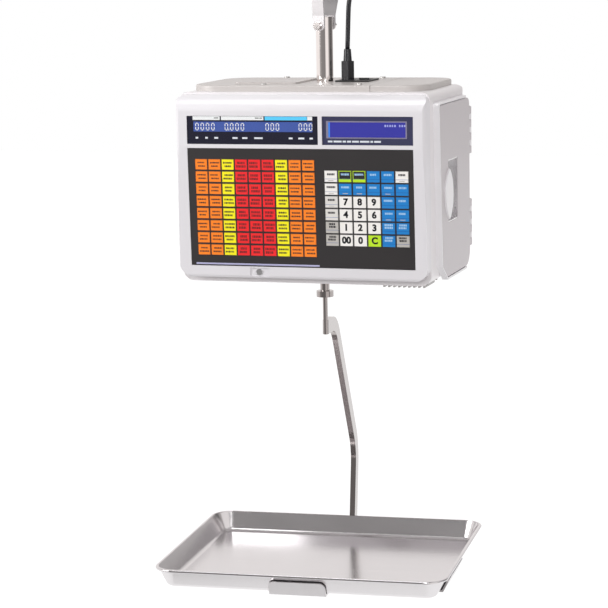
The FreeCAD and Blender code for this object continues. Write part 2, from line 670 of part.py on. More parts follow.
def make_lead():
    points = lead_route()
    path, radii = rounded_path(points)
    first = (points[1] - points[0]).normalize()
    ring = Part.Wire(Part.Circle(points[0], first, d.lead_radius.value).toShape())
    tube = swept(path, ring)
    expected = math.pi * d.lead_radius.value ** 2 * path.Length
    print("lead radii", [round(radius) for radius in radii], "length", round(path.Length, 1),
          "volume ratio", round(tube.Volume / expected, 4))
    piece("mains_lead", "console", made(tube))


COIL_HALF_BREADTH = 10.5
COIL_HALF_DEPTH = 7.0


def make_coil():
    """Six turns of the put-away lead, tied flat against the yoke's web."""
    near = -d.coil_offset + COIL_HALF_BREADTH
    far = -d.coil_offset - COIL_HALF_BREADTH
    outside = round_bar(d.coil_radius + COIL_HALF_DEPTH, (d.coil_side, far, d.coil_height), near - far, "y")
    inside = round_bar(d.coil_radius - COIL_HALF_DEPTH, (d.coil_side, far - 1, d.coil_height), near - far + 2, "y")
    piece("lead_coil", "yoke", cut(outside, inside))
    side = d.coil_side + d.coil_radius
    z = (d.coil_height - 4, d.coil_height + 4)
    strap = block((side - 9.3, side + 9.3), (far - 2, -d.yoke_width / 2), z)
    hole = block((side - 7.5, side + 7.5), (far - 0.2, near + 0.2), (z[0] - 1, z[1] + 1))
    piece("lead_tie", "yoke", cut(strap, hole))


def make_mains_plug():
    """A moulded plug with two flat blades and an earth pin, laid level on the coil's outer face."""
    y = -d.coil_offset - COIL_HALF_BREADTH - 12
    z = d.coil_height - d.coil_radius + d.lead_radius
    length = 32.0
    body = prism("YZ", box_corners((y - 12, y + 12), (z - 13, z + 13)), 0, length, all_rounds(6, 6, 6, 6))
    relief = cone(4.2, 6.0, (-20, y, z), 20, "x")
    blades = [block((length, length + 16), (y - 3.2, y + 3.2), (z + side - 0.8, z + side + 0.8))
              for side in (-6.35, 6.35)]
    earth = round_bar(2.4, (length, y - 7.5, z), 19, "x")
    piece("mains_plug", "yoke", fuse(body, relief, *blades, earth))


# ---- chassis, load cell and electronics -------------------------------------------------------
def make_chassis():
    plate = block((-62, 62), (70, 224), (60, 63))
    legs = [block(x, (90, 214), (-197, 60)) for x in ((-62, -60), (60, 62))]
    holes = [round_bar(2.5, (22 * math.cos(math.radians(45 + 90 * n)),
                             d.post_setback + 22 * math.sin(math.radians(45 + 90 * n)), 55), 12) for n in range(4)]
    spacer = block((-15, 15), (188, 224), (-30, 60))
    piece("chassis_frame", "console", cut(fuse(plate, spacer, *legs), *holes))
    bar = block((-15, 15), (100, 224), (-60, -30))
    waist = [round_bar(9, (-20, y, -45), 40, "x") for y in (158, 174)]
    bore = round_bar(d.rod_radius + d.running_gap, (0, d.rod_setback, -70), 50)
    piece("load_cell", "console", cut(bar, *waist, bore))
    sleeve = cut(round_bar(d.sleeve_radius, (0, d.rod_setback, d.sleeve_floor), -60 - d.sleeve_floor),
                 round_bar(d.rod_radius + d.running_gap, (0, d.rod_setback, d.sleeve_floor - 1), 200))
    piece("load_sleeve", "console", sleeve)
    collar = cut(round_bar(d.collar_radius, (0, d.rod_setback, -234), 9),
                 round_bar(d.collar_radius - 2, (0, d.rod_setback, -235), 7.5),
                 round_bar(d.sleeve_radius, (0, d.rod_setback, -235), 20))
    piece("sleeve_collar", "console", collar)
    piece("power_supply", "console", block((-150, -80), (60, 190), (-196, -150)))
    board = block((-172, -170.4), (50, 230), (-150, 50))
    parts = [block((-170.4, -160), (70 + 40 * n, 95 + 40 * n), (-60 + 20 * (n % 2), -20 + 20 * (n % 2)))
             for n in range(4)]
    piece("main_board", "console", fuse(board, *parts))


# ---- printer ----------------------------------------------------------------------------------
ROLL_Y = 165.0
ROLL_Z = -10.0
PLATEN_Y = 92.0
PLATEN_Z = -110.0


def gear(teeth, x, y0, z0, phase):
    """A spur gear with straight-flanked teeth, thin enough to run freely."""
    module = d.gear_module.value
    pitch = module * teeth / 2
    corners = []
    for tooth in range(teeth):
        for share, radius in ((-0.27, -1.15), (-0.12, 0.8), (0.12, 0.8), (0.27, -1.15)):
            angle = math.radians(360 * (tooth + share) / teeth + phase)
            reach = pitch + module * radius
            corners.append(FreeCAD.Vector(x[0], y0 + reach * math.cos(angle), z0 + reach * math.sin(angle)))
    outline = Part.makePolygon(corners + corners[:1])
    return Part.Face(outline).extrude(FreeCAD.Vector(x[1] - x[0], 0, 0))


def make_printer():
    plate = block((104, 107), (64, 226), (-168, 46))
    foot = block((92, 104), (64, 206), (-197, -165))
    spindle = round_bar(d.spindle_radius, (107, ROLL_Y, ROLL_Z), 70, "x")
    bearing = cut(block((172, 176), (82, 102), (-120, -100)), round_bar(3.08, (165, PLATEN_Y, PLATEN_Z), 20, "x"))
    beam = block((107, 176), (76, 82), (-130, -124))
    link = block((172, 176), (76, 84), (-130, -100))
    piece("printer_chassis", "console", fuse(plate, foot, spindle, bearing, beam, link))
    roll = cut(round_bar(d.roll_radius, (112, ROLL_Y, ROLL_Z), 60, "x"),
               round_bar(d.spindle_radius + 0.09, (110, ROLL_Y, ROLL_Z), 70, "x"))
    piece("label_roll", "console", roll)
    axle = round_bar(3, (107.2, PLATEN_Y, PLATEN_Z), 68.8, "x")
    rubber = round_bar(d.platen_radius, (114, PLATEN_Y, PLATEN_Z), 56, "x")
    piece("platen_roller", "console", fuse(axle, rubber))
    platen_teeth = int(d.platen_teeth.value)
    pinion_teeth = int(d.pinion_teeth.value)
    wheel = gear(platen_teeth, (108, 112), PLATEN_Y, PLATEN_Z, 0.0)
    wheel = wheel.cut(Part.makeCylinder(3, 20, FreeCAD.Vector(100, PLATEN_Y, PLATEN_Z), X_AXIS))
    piece("platen_gear", "console", made(wheel))
    spread = d.gear_module.value * (platen_teeth + pinion_teeth) / 2
    small = gear(pinion_teeth, (108, 112), PLATEN_Y + spread, PLATEN_Z, 180.0 + 180.0 / pinion_teeth)
    shaft = Part.makeCylinder(2, 6, FreeCAD.Vector(107.2, PLATEN_Y + spread, PLATEN_Z), X_AXIS)
    piece("motor_pinion", "console", made(small.fuse(shaft)))
    motor_y = PLATEN_Y + spread
    piece("printer_motor", "console", block((74, 103.8), (motor_y - 21, motor_y + 21),
                                            (PLATEN_Z - 21, PLATEN_Z + 21)))
    head = block((114, 170), (68, 83.4), (-112, -86))
    piece("thermal_head", "console", head)


# ---- load gear --------------------------------------------------------------------------------
def make_rod():
    rod = round_bar(d.rod_radius, (0, 0, d.arm_head - 11), -22 - (d.arm_head - 11))
    piece("suspension_rod", "arm", rod)
    nut = cut(round_bar(8, (0, 0, -29.7), 8), round_bar(d.rod_radius, (0, 0, -31), 20))
    piece("rod_nut", "arm", nut)


def make_arm():
    """A flat bar bent on edge: from the rod over and down behind the pan, then forward under it."""
    head = d.arm_head.value
    foot = d.arm_foot.value
    route = [(0, head), (65, head - 2), (217.7, head - 220), (223.6, head - 249), (202.5, foot + 36), (178, foot),
             (98, foot)]
    path, _ = rounded_path([FreeCAD.Vector(0, v, z) for v, z in route])
    half_width = d.arm_width.value / 2
    half_thickness = d.arm_thickness.value / 2
    start = FreeCAD.Vector(0, 0, head)
    along = (FreeCAD.Vector(0, route[1][0], route[1][1]) - start).normalize()
    across = along.cross(X_AXIS)
    corners = [start + across * a + X_AXIS * b for a, b in
               ((-half_width, -half_thickness), (half_width, -half_thickness), (half_width, half_thickness),
                (-half_width, half_thickness))]
    bar = swept(path, Part.makePolygon(corners + corners[:1]))
    groove = Part.makeCylinder(d.rod_radius.value, 80, FreeCAD.Vector(0, 0, head - 40), Z_AXIS)
    piece("pan_arm", "arm", made(bar.cut(groove)))


def pan_form(inset, floor_z, top_z):
    """A flared tray with a rounded cove: a lofted block, drawn in by an inset."""
    rim_half = (d.pan_width.value / 2 - 3 - inset, d.pan_depth.value / 2 - 3 - inset)
    slope = d.pan_inset.value / d.pan_height.value
    rim_z = d.pan_rim.value
    sections = []
    for z in (floor_z, top_z):
        shrink = (rim_z - z) * slope
        half_u = rim_half[0] - shrink
        half_v = rim_half[1] - shrink
        corner = d.pan_corner.value - inset - shrink
        sections.append(rounded_rectangle(half_u, half_v, corner, z))
    solid = Part.makeLoft(sections, True, True)
    low = [edge for edge in solid.Edges if edge.BoundBox.ZMax < floor_z + 0.01]
    return solid.makeFillet(d.pan_cove.value - inset, low)


def rounded_rectangle(half_u, half_v, corner, z):
    """A level outline about the pan's middle."""
    edges = []
    middle_u = d.pan_shift.value
    middle_v = d.pan_setback.value
    centres = [(middle_u + su * (half_u - corner), middle_v + sv * (half_v - corner))
               for su, sv in ((1, 1), (-1, 1), (-1, -1), (1, -1))]
    diagonal = corner / math.sqrt(2)
    steps = [(1, 1), (-1, 1), (-1, -1), (1, -1)]
    ends = []
    for (u, v), (su, sv) in zip(centres, steps):
        a = FreeCAD.Vector(u + su * corner, v, z)
        b = FreeCAD.Vector(u, v + sv * corner, z)
        middle = FreeCAD.Vector(u + su * diagonal, v + sv * diagonal, z)
        first, last = (a, b) if su * sv > 0 else (b, a)
        ends.append((first, middle, last))
    for n, (first, middle, last) in enumerate(ends):
        edges.append(Part.Arc(first, middle, last).toShape())
        edges.append(Part.LineSegment(last, ends[(n + 1) % 4][0]).toShape())
    return Part.Wire(edges)


def make_pan():
    sheet_mm = d.pan_sheet.value
    rim = d.pan_rim.value
    floor_z = rim - d.pan_height.value
    outer = pan_form(0.0, floor_z, rim - 1.0)
    inner = pan_form(sheet_mm, floor_z + sheet_mm, rim + 3.0)
    half = (d.pan_width.value / 2, d.pan_depth.value / 2)
    band = Part.Face(rounded_rectangle(half[0], half[1], d.pan_corner.value + 3, rim - 4.4))
    band = band.extrude(FreeCAD.Vector(0, 0, 4.4))
    band = band.makeFillet(2.1, [e for e in band.Edges if e.BoundBox.ZLength < 0.01])
    hole = Part.Face(rounded_rectangle(half[0] - 4.6, half[1] - 4.6, d.pan_corner.value - 1.6, rim - 9))
    ring = band.cut(hole.extrude(FreeCAD.Vector(0, 0, 20)))
    pan = outer.cut(inner).fuse(ring).removeSplitter()
    piece("weighing_pan", "pan", made(pan))


def lip(plane, edge, side, reach, z):
    """A strip that stands along the pan's sloped wall, its upper corners rounded."""
    slope = d.pan_inset / d.pan_height
    gap = 0.8
    foot = edge - side * (3 + d.pan_inset - gap)
    top = foot + side * slope * (z[1] - z[0])
    outline = [(foot, z[0]), (foot + side * d.cradle_sheet, z[0]), (top + side * d.cradle_sheet, z[1]), (top, z[1])]
    outline = outline if side > 0 else outline[::-1]
    leaning = prism(plane, outline, *reach)
    across = "XZ" if plane == "YZ" else "YZ"
    low = edge - 40 if side > 0 else edge - 20
    face = prism(across, box_corners(reach, z), low, low + 60, [(2, 9), (3, 9)])
    return common(leaning, face)


def make_cradle():
    bed = d.pan_rim - d.pan_height
    z = (bed - d.cradle_sheet, bed)
    lip_z = (z[0], d.pan_rim - d.lip_drop)
    half_u = d.pan_width / 2
    half_v = d.pan_depth / 2
    inside = 3 + d.pan_inset - 0.8
    front = d.pan_setback - half_v
    across = (d.pan_shift - d.lip_width / 2, d.pan_shift + d.lip_width / 2)
    along = (-115.0, 5.0)
    spine = block(across, (front + inside - d.cradle_sheet, 140), z)
    cross = block((d.pan_shift - half_u + inside - d.cradle_sheet, d.pan_shift + half_u - inside + d.cradle_sheet),
                  along, z)
    lips = [lip("YZ", front, -1, across, lip_z), lip("XZ", d.pan_shift + half_u, 1, along, lip_z),
            lip("XZ", d.pan_shift - half_u, -1, along, lip_z)]
    arm_top = d.arm_foot + d.arm_width / 2
    seat_block = block((-14, 14), (98, 140), (arm_top, z[0]))
    piece("pan_cradle", "pan", fuse(spine, cross, seat_block, *lips))


# ---- building and writing ---------------------------------------------------------------------
for make in (make_housing, make_bezel, make_side_covers, make_door, make_deck, make_displays, make_keypad,
             make_post, make_yoke, make_inlet, make_plug, make_lead, make_coil, make_mains_plug, make_chassis,
             make_printer, make_rod, make_arm, make_pan, make_cradle):
    make()
doc.recompute()

failed = [each.Label for each in doc.Objects if {"Invalid", "Error"} & set(each.State)]
if failed:
    raise RuntimeError(f"failed objects: {failed}")
for each in PIECES:
    if each.Shape.isNull() or not each.Shape.isValid() or not each.Shape.Solids:
        raise RuntimeError(f"{each.Label} has no valid shape")

os.makedirs("parts", exist_ok=True)
for each in PIECES:
    each.Shape.exportStep(f"parts/{each.Label}.step")
    box = each.Shape.BoundBox
    print(f"{each.Label:24s} {len(each.Shape.Solids):3d}  X {box.XMin:8.1f} {box.XMax:8.1f}"
          f"  Y {box.YMin:8.1f} {box.YMax:8.1f}  Z {box.ZMin:8.1f} {box.ZMax:8.1f}  V {each.Shape.Volume:10.0f}")
print(len(PIECES), "pieces")
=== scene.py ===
"""Looks of a hanging retail price scale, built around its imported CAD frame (metres)."""
import math
import random

import bmesh
import bpy
from mathutils import Matrix, Vector


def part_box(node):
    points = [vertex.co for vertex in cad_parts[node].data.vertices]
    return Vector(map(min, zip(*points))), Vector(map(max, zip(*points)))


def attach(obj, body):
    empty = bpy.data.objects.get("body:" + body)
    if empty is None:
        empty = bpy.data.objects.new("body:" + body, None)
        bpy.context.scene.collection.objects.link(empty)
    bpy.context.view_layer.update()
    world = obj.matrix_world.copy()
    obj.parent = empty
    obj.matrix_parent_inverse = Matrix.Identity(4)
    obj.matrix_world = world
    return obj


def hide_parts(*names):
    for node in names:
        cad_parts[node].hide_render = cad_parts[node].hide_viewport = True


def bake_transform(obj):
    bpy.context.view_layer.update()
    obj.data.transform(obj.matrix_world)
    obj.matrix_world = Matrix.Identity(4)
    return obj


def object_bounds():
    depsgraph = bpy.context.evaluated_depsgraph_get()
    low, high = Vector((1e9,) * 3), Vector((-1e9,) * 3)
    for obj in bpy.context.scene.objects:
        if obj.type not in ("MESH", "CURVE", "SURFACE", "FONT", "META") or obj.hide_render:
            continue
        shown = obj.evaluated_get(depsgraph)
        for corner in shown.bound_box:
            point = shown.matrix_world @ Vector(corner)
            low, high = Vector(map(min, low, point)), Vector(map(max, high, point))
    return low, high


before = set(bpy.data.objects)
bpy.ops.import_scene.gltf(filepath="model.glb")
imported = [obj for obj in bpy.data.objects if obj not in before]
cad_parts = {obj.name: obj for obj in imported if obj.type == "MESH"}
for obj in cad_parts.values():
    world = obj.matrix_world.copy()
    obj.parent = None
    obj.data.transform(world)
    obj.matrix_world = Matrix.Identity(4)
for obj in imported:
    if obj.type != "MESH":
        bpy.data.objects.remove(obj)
cad_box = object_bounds()
MM = 0.001


# ---- camera -----------------------------------------------------------------------------------
CAMERA_PLACE = (0.9824, -3.3145, -0.0352)
CAMERA_YAW, CAMERA_PITCH, CAMERA_ROLL = (math.radians(angle) for angle in (-17.13, -8.76, -1.0))
CAMERA_LENS = 136.2
SENSOR_WIDTH = 36.0
VIEW_REACH = 50.0


def make_camera():
    """The photograph's camera: it looks left and down, and leans by one degree."""
    forward = Vector((math.sin(CAMERA_YAW) * math.cos(CAMERA_PITCH),
                      math.cos(CAMERA_YAW) * math.cos(CAMERA_PITCH), math.sin(CAMERA_PITCH)))
    right = Vector((math.cos(CAMERA_YAW), -math.sin(CAMERA_YAW), 0))
    up = right.cross(forward)
    leaning_right = right * math.cos(CAMERA_ROLL) + up * math.sin(CAMERA_ROLL)
    leaning_up = up * math.cos(CAMERA_ROLL) - right * math.sin(CAMERA_ROLL)
    data = bpy.data.cameras.new("camera")
    data.sensor_width = SENSOR_WIDTH
    data.lens = CAMERA_LENS
    data.clip_end = VIEW_REACH
    camera = bpy.data.objects.new("camera", data)
    turn = Matrix((leaning_right, leaning_up, -forward)).transposed().to_4x4()
    camera.matrix_world = Matrix.Translation(CAMERA_PLACE) @ turn
    bpy.context.scene.collection.objects.link(camera)
    bpy.context.scene.camera = camera


make_camera()


# ---- materials --------------------------------------------------------------------------------
TONE_PLACES = (0.3, 0.7)      # where a colour ramp's low and high tone sit on the noise
COAT_ROUGHNESS = 0.08
LEAST_ROUGHNESS = 0.02
GRAIN_DEPTH = 0.4 * MM
FLECK_SCALE = 2600.0
FLECK_METAL = (0.05, 0.22)


def add_node(tree, kind, settings=None):
    """A node with the given input values."""
    node = tree.nodes.new(kind)
    for name, amount in (settings or {}).items():
        node.inputs[name].default_value = amount
    return node


def position(tree, scale=(1, 1, 1)):
    """Object coordinates, stretched."""
    coordinates = add_node(tree, "ShaderNodeTexCoord")
    mapping = add_node(tree, "ShaderNodeMapping", {"Scale": scale})
    tree.links.new(coordinates.outputs["Object"], mapping.inputs["Vector"])
    return mapping.outputs["Vector"]


def surface(name, color, roughness, metallic=0.0, grain=900.0, bump=0.04, stretch=(1, 1, 1),
            mottle=0.05, mottle_scale=9.0, rough_spread=0.06, coat=0.0):
    """A material with colour drift, uneven gloss and a fine grain."""
    material = bpy.data.materials.new(name)
    material.use_nodes = True
    tree = material.node_tree
    shader = tree.nodes["Principled BSDF"]
    shader.inputs["Metallic"].default_value = metallic
    if coat:
        shader.inputs["Coat Weight"].default_value = coat
        shader.inputs["Coat Roughness"].default_value = COAT_ROUGHNESS
    where = position(tree, stretch)
    drift = add_node(tree, "ShaderNodeTexNoise", {"Scale": mottle_scale, "Detail": 4.0})
    tree.links.new(where, drift.inputs["Vector"])
    tones = add_node(tree, "ShaderNodeValToRGB")
    shares = (1 - mottle, 1 + mottle)
    for element, place, share in zip(tones.color_ramp.elements, TONE_PLACES, shares):
        element.position = place
        element.color = (*(min(1.0, c * share) for c in color), 1)
    tree.links.new(drift.outputs["Fac"], tones.inputs["Fac"])
    tree.links.new(tones.outputs["Color"], shader.inputs["Base Color"])
    gloss = add_node(tree, "ShaderNodeMapRange",
                     {"To Min": max(LEAST_ROUGHNESS, roughness - rough_spread),
                      "To Max": min(1.0, roughness + rough_spread)})
    tree.links.new(drift.outputs["Fac"], gloss.inputs["Value"])
    tree.links.new(gloss.outputs["Result"], shader.inputs["Roughness"])
    fine = add_node(tree, "ShaderNodeTexNoise", {"Scale": grain, "Detail": 3.0})
    tree.links.new(where, fine.inputs["Vector"])
    raised = add_node(tree, "ShaderNodeBump", {"Strength": bump, "Distance": GRAIN_DEPTH})
    tree.links.new(fine.outputs["Fac"], raised.inputs["Height"])
    tree.links.new(raised.outputs["Normal"], shader.inputs["Normal"])
    return material


def glowing(name, color, strength, roughness=0.3):
    """A surface that also shines in its own colour."""
    material = surface(name, color, roughness, bump=0.01, mottle=0.03)
    shader = material.node_tree.nodes["Principled BSDF"]
    shader.inputs["Emission Color"].default_value = (*color, 1)
    shader.inputs["Emission Strength"].default_value = strength
    return material


def clear_window(name, color, alpha):
    """A thin clear sheet."""
    material = surface(name, color, 0.06, bump=0.0, mottle=0.02, rough_spread=0.02)
    material.node_tree.nodes["Principled BSDF"].inputs["Alpha"].default_value = alpha
    return material


def moulded(name, color, roughness=0.34):
    """Silver-white moulding with a faint metallic fleck."""
    material = surface(name, color, roughness, grain=1500, bump=0.05, mottle=0.02,
                       mottle_scale=5, coat=0.12)
    tree = material.node_tree
    fleck = add_node(tree, "ShaderNodeTexVoronoi", {"Scale": FLECK_SCALE})
    tree.links.new(position(tree), fleck.inputs["Vector"])
    least, most = FLECK_METAL
    spread = add_node(tree, "ShaderNodeMapRange", {"To Min": least, "To Max": most})
    tree.links.new(fleck.outputs["Distance"], spread.inputs["Value"])
    tree.links.new(spread.outputs["Result"], tree.nodes["Principled BSDF"].inputs["Metallic"])
    return material


def polished(name, color, roughness, stretch=(1, 1, 1), bump=0.015):
    """Bare metal; a stretch draws its grain out into brush lines."""
    return surface(name, color, roughness, metallic=1.0, grain=260, bump=bump, stretch=stretch,
                   mottle=0.02, mottle_scale=6, rough_spread=0.03)


def key_paint(name, color):
    """The glossy print of a membrane key."""
    return surface(name, color, 0.38, bump=0.03, mottle=0.03, coat=0.1)


def ink(name, color):
    """Flat print."""
    return surface(name, color, 0.5, bump=0.01)


LOOKS = {
    "housing": moulded("housing_moulding", (0.80, 0.785, 0.815)),
    # shell: the silver moulding made lighter, painted light on the brightly lit corner and side
    "shell": moulded("shell_moulding_painted_light", (0.85, 0.825, 0.84)),
    # door: the same moulding made darker, painted shade on the right side
    "door": moulded("door_moulding_painted_shade", (0.56, 0.525, 0.545), 0.36),
    # deck: the moulding made darker and beige, painted shade on the less lit upward faces
    "deck": moulded("deck_moulding_painted_shade", (0.56, 0.53, 0.515), 0.42),
    "vent": surface("vent_grey", (0.55, 0.54, 0.53), 0.5),
    "chrome": polished("chrome_plate", (0.92, 0.87, 0.85), 0.06),
    "rod": polished("rod_plate", (0.43, 0.395, 0.385), 0.10),
    "yoke": surface("yoke_plate", (0.64, 0.62, 0.63), 0.45, metallic=0.35, stretch=(1, 1, 8)),
    "pan": polished("pan_steel", (0.74, 0.72, 0.73), 0.19, stretch=(1, 14, 1), bump=0.03),
    "cradle": polished("cradle_steel", (0.80, 0.78, 0.79), 0.42, stretch=(10, 1, 1)),
    "zinc": polished("zinc", (0.60, 0.59, 0.58), 0.3),
    "pull": polished("pull_metal", (0.85, 0.84, 0.85), 0.2, stretch=(1, 1, 9)),
    # lip: a lighter copy of the moulding, painted light on the right side frame and the door pull
    # lip
    "lip": moulded("lip_moulding_painted_light", (0.86, 0.85, 0.87)),
    "window": clear_window("window_acrylic", (0.02, 0.02, 0.04), 0.10),
    "mask_left": surface("mask_navy", (0.010, 0.010, 0.026), 0.3, bump=0.01),
    "mask_right": surface("mask_slate", (0.050, 0.052, 0.115), 0.3, bump=0.01),
    "lcd_left": glowing("lcd_blue", (0.055, 0.10, 0.36), 0.45),
    "lcd_right": glowing("lcd_violet", (0.030, 0.030, 0.26), 0.85),
    "lcd_frame": surface("lcd_frame_grey", (0.36, 0.33, 0.46), 0.4),
    "overlay": surface("overlay_black", (0.026, 0.023, 0.024), 0.42, grain=2200, bump=0.06),
    "orange": key_paint("key_orange", (0.96, 0.23, 0.014)),
    "yellow": key_paint("key_yellow", (0.93, 0.84, 0.01)),
    "red": key_paint("key_red", (0.88, 0.018, 0.022)),
    "white": key_paint("key_white", (0.88, 0.86, 0.83)),
    "pale": surface("key_pale", (0.50, 0.48, 0.45), 0.4, bump=0.03, mottle=0.04),
    "blue": key_paint("key_blue", (0.010, 0.215, 0.60)),
    "lime": key_paint("key_lime", (0.50, 0.78, 0.02)),
    "ink": ink("key_ink", (0.012, 0.012, 0.016)),
    "red_ink": ink("red_ink", (0.16, 0.008, 0.010)),
    # white print that also glows: painted light on the annunciator and rating text
    "white_ink_painted_light": glowing("white_ink_painted_light", (0.80, 0.84, 0.90), 0.12),
    "digit_ink": glowing("digit_ink", (0.84, 0.85, 0.82), 0.42),
    "sky_ink": ink("sky_ink", (0.36, 0.58, 0.82)),
    # white label strip print that also glows: painted light
    "strip_white_painted_light": glowing("strip_white_painted_light", (0.82, 0.84, 0.84), 0.28),
    "blue_glow": glowing("lcd_text", (0.40, 0.44, 0.80), 0.35),
    # a glowing blue band for the highlight at the right LCD's left edge: painted highlight
    "blue_painted_highlight": glowing("lcd_edge_painted_highlight", (0.05, 0.22, 0.75), 0.6),
    "blue_ink": ink("blue_ink", (0.01, 0.08, 0.34)),
    # cyan label strip print that also glows: painted light
    "cyan": glowing("strip_cyan_painted_light", (0.10, 0.56, 0.86), 0.35),
    "pearl": surface("key_pearl", (0.72, 0.70, 0.67), 0.4, bump=0.03, mottle=0.04),
    "lilac": surface("card_lilac", (0.45, 0.45, 0.66), 0.4, bump=0.02),
    "black": surface("black_moulding", (0.016, 0.016, 0.017), 0.42, grain=1800, bump=0.08),
    "rubber": surface("lead_rubber", (0.016, 0.016, 0.020), 0.27, grain=2400, bump=0.1),
    "board": surface("board_green", (0.02, 0.16, 0.05), 0.45),
    "steel": polished("inner_steel", (0.52, 0.53, 0.54), 0.35),
    "cell": polished("cell_aluminium", (0.70, 0.70, 0.71), 0.3),
    "paper": surface("label_paper", (0.80, 0.79, 0.74), 0.8, grain=600, bump=0.1),
    "platen": surface("platen_rubber", (0.05, 0.05, 0.055), 0.7),
    "acetal": surface("acetal", (0.68, 0.67, 0.62), 0.4),
    "head": polished("print_head", (0.40, 0.41, 0.43), 0.4),
}

NODE_LOOKS = {
    "housing": ["front_bezel"],
    # the shell and lip looks are lighter copies and the door look a darker copy of one moulding:
    # painted light and painted shade
    "shell": ["housing_shell", "left_side_cover"],
    "lip": ["door_pull_lip", "right_side_frame"],
    "door": ["printer_door"],
    # the deck look is a darker copy of the moulding: painted shade on the upward faces
    "deck": ["top_deck", "deck_end_cover", "deck_access_plate"],
    "vent": ["bottom_vent"],
    "chrome": ["post_tube", "pivot_bolt", "pivot_nut_and_washers"],
    "rod": ["load_sleeve", "sleeve_collar", "suspension_rod", "rod_nut", "pan_arm"],
    "yoke": ["hanger_yoke"],
    "pan": ["weighing_pan"],
    "cradle": ["pan_cradle"],
    "zinc": ["deck_screws", "flange_bolts", "door_hinge_pins"],
    "pull": ["door_pull_cup"],
    "window": ["left_window", "right_window"],
    "lcd_left": ["left_lcd"],
    "lcd_right": ["right_lcd"],
    "lcd_frame": ["right_lcd_frame"],
    "overlay": ["keypad_overlay", "keypad_backing"],
    "orange": ["preset_keys_orange"],
    "yellow": ["preset_keys_yellow"],
    "red": ["preset_keys_red"],
    "white": ["function_keys_white"],
    "blue": ["function_keys_blue"],
    "lime": ["function_keys_lime"],
    "black": ["inlet_module", "power_rocker", "lead_tie"],
    "rubber": ["appliance_plug", "plug_strain_relief", "mains_plug"],
    "board": ["display_board", "main_board"],
    "steel": ["chassis_frame", "printer_chassis", "power_supply", "printer_motor"],
    "cell": ["load_cell", "bezel_screw"],
    "paper": ["label_roll"],
    "platen": ["platen_roller"],
    "acetal": ["platen_gear", "motor_pinion"],
    "head": ["thermal_head"],
}


def dress_nodes():
    """Give every CAD node its look."""
    for look, names in NODE_LOOKS.items():
        for name in names:
            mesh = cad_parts[name].data
            mesh.materials.clear()
            mesh.materials.append(LOOKS[look])


dress_nodes()


# ---- mesh helpers -----------------------------------------------------------------------------
MERGE_DIGITS = 5              # vertices that agree to so many decimals are one point
ROW_DIGITS = 4                # and tops that agree to so many are one row


def keep(name, mesh, look):
    """A mesh as a piece of the console."""
    piece = bpy.data.objects.new(name, mesh)
    bpy.context.scene.collection.objects.link(piece)
    mesh.materials.append(LOOKS[look])
    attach(piece, "console")


def plates(name, rectangles, look, thickness, place):
    """Thin raised plates; each rectangle is (left, right, low, high) in the local XZ plane."""
    sheet = bmesh.new()
    for left, right, low, high in rectangles:
        matrix = Matrix.Translation(((left + right) / 2, -thickness / 2, (low + high) / 2))
        matrix = matrix @ Matrix.Diagonal((right - left, thickness, high - low, 1))
        bmesh.ops.create_cube(sheet, size=1.0, matrix=matrix)
    bmesh.ops.transform(sheet, matrix=place, verts=sheet.verts)
    mesh = bpy.data.meshes.new(name)
    sheet.to_mesh(mesh)
    sheet.free()
    keep(name, mesh, look)


def curve_mesh(curve):
    """The mesh a curve or a text gives; the curve itself goes."""
    source = bpy.data.objects.new(curve.name, curve)
    bpy.context.scene.collection.objects.link(source)
    bpy.context.view_layer.update()
    evaluated = source.evaluated_get(bpy.context.evaluated_depsgraph_get())
    mesh = bpy.data.meshes.new_from_object(evaluated)
    bpy.data.objects.remove(source)
    bpy.data.curves.remove(curve)
    return mesh


def solids(node):
    """The low and high corners of a node's separate solids, row by row from the top."""
    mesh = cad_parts[node].data
    points = {}
    parent = list(range(len(mesh.vertices)))

    def root(n):
        while parent[n] != n:
            parent[n] = parent[parent[n]]
            n = parent[n]
        return n

    for vertex in mesh.vertices:
        key = tuple(round(c, MERGE_DIGITS) for c in vertex.co)
        parent[root(vertex.index)] = root(points.setdefault(key, vertex.index))
    for edge in mesh.edges:
        parent[root(edge.vertices[0])] = root(edge.vertices[1])
    groups = {}
    for vertex in mesh.vertices:
        groups.setdefault(root(vertex.index), []).append(vertex.co)
    boxes = []
    for group in groups.values():
        low = Vector([min(c[axis] for c in group) for axis in range(3)])
        high = Vector([max(c[axis] for c in group) for axis in range(3)])
        boxes.append((low, high))
    return sorted(boxes, key=lambda box: (round(-box[1].z, ROW_DIGITS), box[0].x))


# ---- the keypad's plane -----------------------------------------------------------------------
# x runs across and z up from the keypad's upper edge; the plane tilts back towards the foot.
OVERLAY_THICKNESS = 0.6 * MM
DATUM_ABOVE_OVERLAY = 0.3 * MM
KEY_RISE = 0.42 * MM
overlay_low, overlay_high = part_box("keypad_overlay")
TILT = math.atan2(overlay_high[1] - overlay_low[1] - OVERLAY_THICKNESS,
                  overlay_high[2] - overlay_low[2])
DATUM = Vector((0, overlay_low[1], overlay_high[2] + DATUM_ABOVE_OVERLAY))
PANEL = Matrix.Translation(DATUM) @ Matrix.Rotation(TILT, 4, "X")
PANEL_BACK = PANEL.inverted()


def above_keys(height):
    """The plane this far above the key tops."""
    return PANEL @ Matrix.Translation((0, -KEY_RISE - height, 0))


def key_faces(node):
    """Each key's centre and half sizes on the keypad plane."""
    faces = []
    for low, high in solids(node):
        middle = PANEL_BACK @ ((low + high) / 2)
        faces.append((middle.x, middle.z, (high.x - low.x) / 2, (high.z - low.z) / 2))
    return faces


# ---- the mains lead ---------------------------------------------------------------------------
LEAD_DIAMETER = 7 * MM
LEAD_SIDES = 12
LEAD_ROUTE = [(0.0350, 0.0020, -0.1830), (0.0364, 0.0023, -0.1450), (0.0382, 0.0019, -0.1080)]
